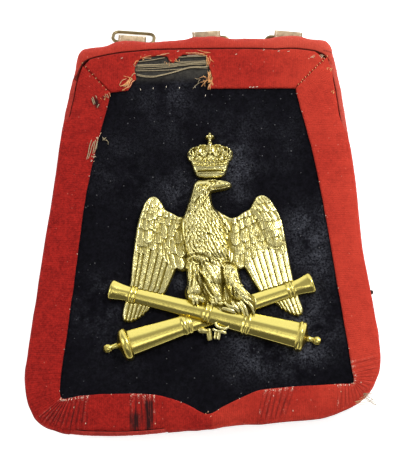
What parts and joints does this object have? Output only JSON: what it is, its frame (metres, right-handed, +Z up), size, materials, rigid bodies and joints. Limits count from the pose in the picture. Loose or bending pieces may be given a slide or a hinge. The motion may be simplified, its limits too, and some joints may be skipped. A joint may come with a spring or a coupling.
{
  "type": "sabretache",
  "caption": "Flat flap-covered pouch of leather, black cloth face with red lace border, crowned eagle over crossed cannons, and hinged ring loops along its top edge.",
  "frame": {"origin": "middle of the back panel's outer face, on the surface the pouch lies on", "axes": "+Z up out of the badge, +Y toward the ring edge, +X to the right as the badge is looked at"},
  "size_m": [0.2763, 0.3373, 0.0319],
  "materials": {
    "black_leather": "worn black, satin",
    "black_cloth": "napped blue-black wool, dusty",
    "red_lace": "ribbed red wool lace",
    "red_cloth": "red wool cloth",
    "buff_leather": "buff, matt",
    "frosted_brass": "frosted gilt",
    "polished_brass": "polished",
    "dull_brass": "aged, satin"
  },
  "bodies": {
    "pouch": {"back_panel": "black_leather", "pocket": "black_leather", "side_tab": "black_leather", "flap_leather": "black_leather", "face_cloth": "black_cloth", "lace_sides": "red_lace", "lace_top": "red_lace", "top_band": "red_cloth", "edge_piping": "red_cloth", "loop_left": "buff_leather", "loop_middle": "buff_leather", "loop_right": "buff_leather", "badge_eagle": "frosted_brass", "badge_crown": "frosted_brass", "badge_cannon_front": "polished_brass", "badge_cannon_rear": "polished_brass"},
    "ring_left": {"ring_left": "dull_brass"},
    "ring_middle": {"ring_middle": "dull_brass"},
    "ring_right": {"ring_right": "dull_brass"}
  },
  "joints": [
    {"name": "ring_left_swing", "type": "hinge", "parent": "pouch", "child": "ring_left", "pos_m": [-0.0575, 0.1678, 0.007], "axis": [0.9954, -0.0958, 0], "range_deg": [-126, 117]},
    {"name": "ring_middle_swing", "type": "hinge", "parent": "pouch", "child": "ring_middle", "pos_m": [0.0038, 0.1705, 0.007], "axis": [0.999, 0.0436, 0], "range_deg": [-0.5, 242]},
    {"name": "ring_right_swing", "type": "hinge", "parent": "pouch", "child": "ring_right", "pos_m": [0.0707, 0.1692, 0.007], "axis": [0.9936, -0.1132, 0], "range_deg": [-0.5, 242]}
  ]
}
